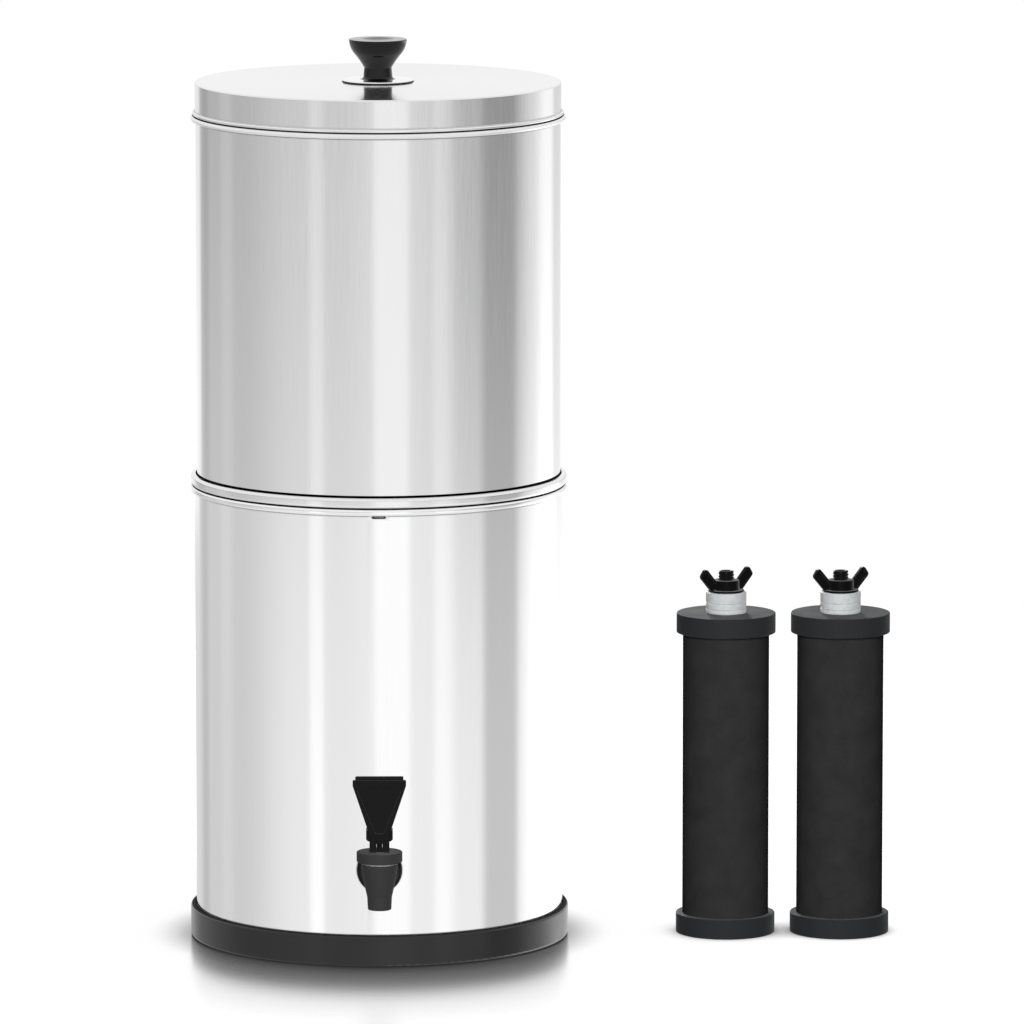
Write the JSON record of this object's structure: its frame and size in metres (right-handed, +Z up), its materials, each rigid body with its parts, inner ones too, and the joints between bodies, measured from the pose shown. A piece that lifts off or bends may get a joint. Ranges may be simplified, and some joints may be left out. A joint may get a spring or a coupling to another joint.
{
  "type": "gravity water filter",
  "caption": "Stainless gravity water filter: an upper chamber nests on a lower one with a lever tap; lift-off lid, rubber base ring and separate carbon cartridges.",
  "frame": {"origin": "the vessel's axis at the floor that the base ring stands on", "axes": "+Z up along the vessel's axis, -Y towards the tap, +X towards the cartridges that stand beside it"},
  "size_m": [0.4607, 0.2838, 0.592],
  "materials": {
    "satin_stainless": "satin, fine vertical grain",
    "polished_stainless": "polished",
    "black_rubber": "matte moulded",
    "black_plastic": "fine-textured moulded",
    "knob_plastic": "satin side, glossy top",
    "clear_silicone": "translucent white silicone",
    "carbon_block": "pressed carbon",
    "plated_steel": "stainless fastener"
  },
  "bodies": {
    "lower_unit": {"base_ring": "black_rubber", "lower_chamber_wall": "satin_stainless", "lower_chamber_floor": "satin_stainless", "tap_body": "black_plastic", "tap_bonnet": "black_plastic", "tap_bonnet_gasket": "clear_silicone", "tap_outer_washer": "black_rubber", "tap_inner_washer": "black_rubber", "tap_shank_nut": "black_plastic"},
    "upper_chamber": {"upper_chamber_wall": "satin_stainless", "upper_chamber_floor": "satin_stainless", "blocking_plug_front": "clear_silicone", "blocking_plug_rear": "clear_silicone"},
    "lid": {"lid_shell": "satin_stainless", "lid_knob": "knob_plastic", "knob_plate": "polished_stainless", "knob_gasket": "black_rubber", "knob_screw": "plated_steel", "knob_screw_washer": "plated_steel"},
    "valve": {"tap_stem": "black_plastic", "tap_seat_cup": "black_rubber", "tap_spring": "plated_steel"},
    "lever": {"tap_lever": "black_plastic", "tap_lever_pin": "plated_steel"},
    "left_cartridge": {"left_base_cap": "black_plastic", "left_top_cap": "black_plastic", "left_stud": "black_plastic", "left_carbon_element": "carbon_block", "left_sealing_washers": "clear_silicone"},
    "left_nut": {"left_wing_nut": "black_plastic"},
    "right_cartridge": {"right_base_cap": "black_plastic", "right_top_cap": "black_plastic", "right_stud": "black_plastic", "right_carbon_element": "carbon_block", "right_sealing_washers": "clear_silicone"},
    "right_nut": {"right_wing_nut": "black_plastic"}
  },
  "joints": [
    {"name": "upper_chamber_lift", "type": "slide", "parent": "lower_unit", "child": "upper_chamber", "axis": [0, 0, 1], "range_m": [0, 0.12]},
    {"name": "lid_lift", "type": "slide", "parent": "upper_chamber", "child": "lid", "axis": [0, 0, 1], "range_m": [0, 0.15]},
    {"name": "valve_lift", "type": "slide", "parent": "lower_unit", "child": "valve", "axis": [0, 0, 1], "range_m": [0, 0.0032], "deforming": ["tap_spring"]},
    {"name": "lever_tilt", "type": "hinge", "parent": "valve", "child": "lever", "pos_m": [0, -0.1446, 0.0867], "axis": [1, 0, 0], "range_deg": [0, 40], "stiffness_Nm_per_rad": 0.03, "springref_deg": -28.65},
    {"name": "left_cartridge_lift", "type": "slide", "parent": "lower_unit", "child": "left_cartridge", "axis": [0, 0, 1], "range_m": [0, 0.3]},
    {"name": "left_wing_nut_spin", "type": "hinge", "parent": "left_cartridge", "child": "left_nut", "pos_m": [0.2284, 0, 0.23], "axis": [0, 0, 1], "continuous": true},
    {"name": "right_cartridge_lift", "type": "slide", "parent": "lower_unit", "child": "right_cartridge", "axis": [0, 0, 1], "range_m": [0, 0.3]},
    {"name": "right_wing_nut_spin", "type": "hinge", "parent": "right_cartridge", "child": "right_nut", "pos_m": [0.3037, 0, 0.23], "axis": [0, 0, 1], "continuous": true}
  ],
  "couplings": [
    {"joint": "valve_lift", "follows": "lever_tilt", "m_per_rad": 0.00458}
  ]
}
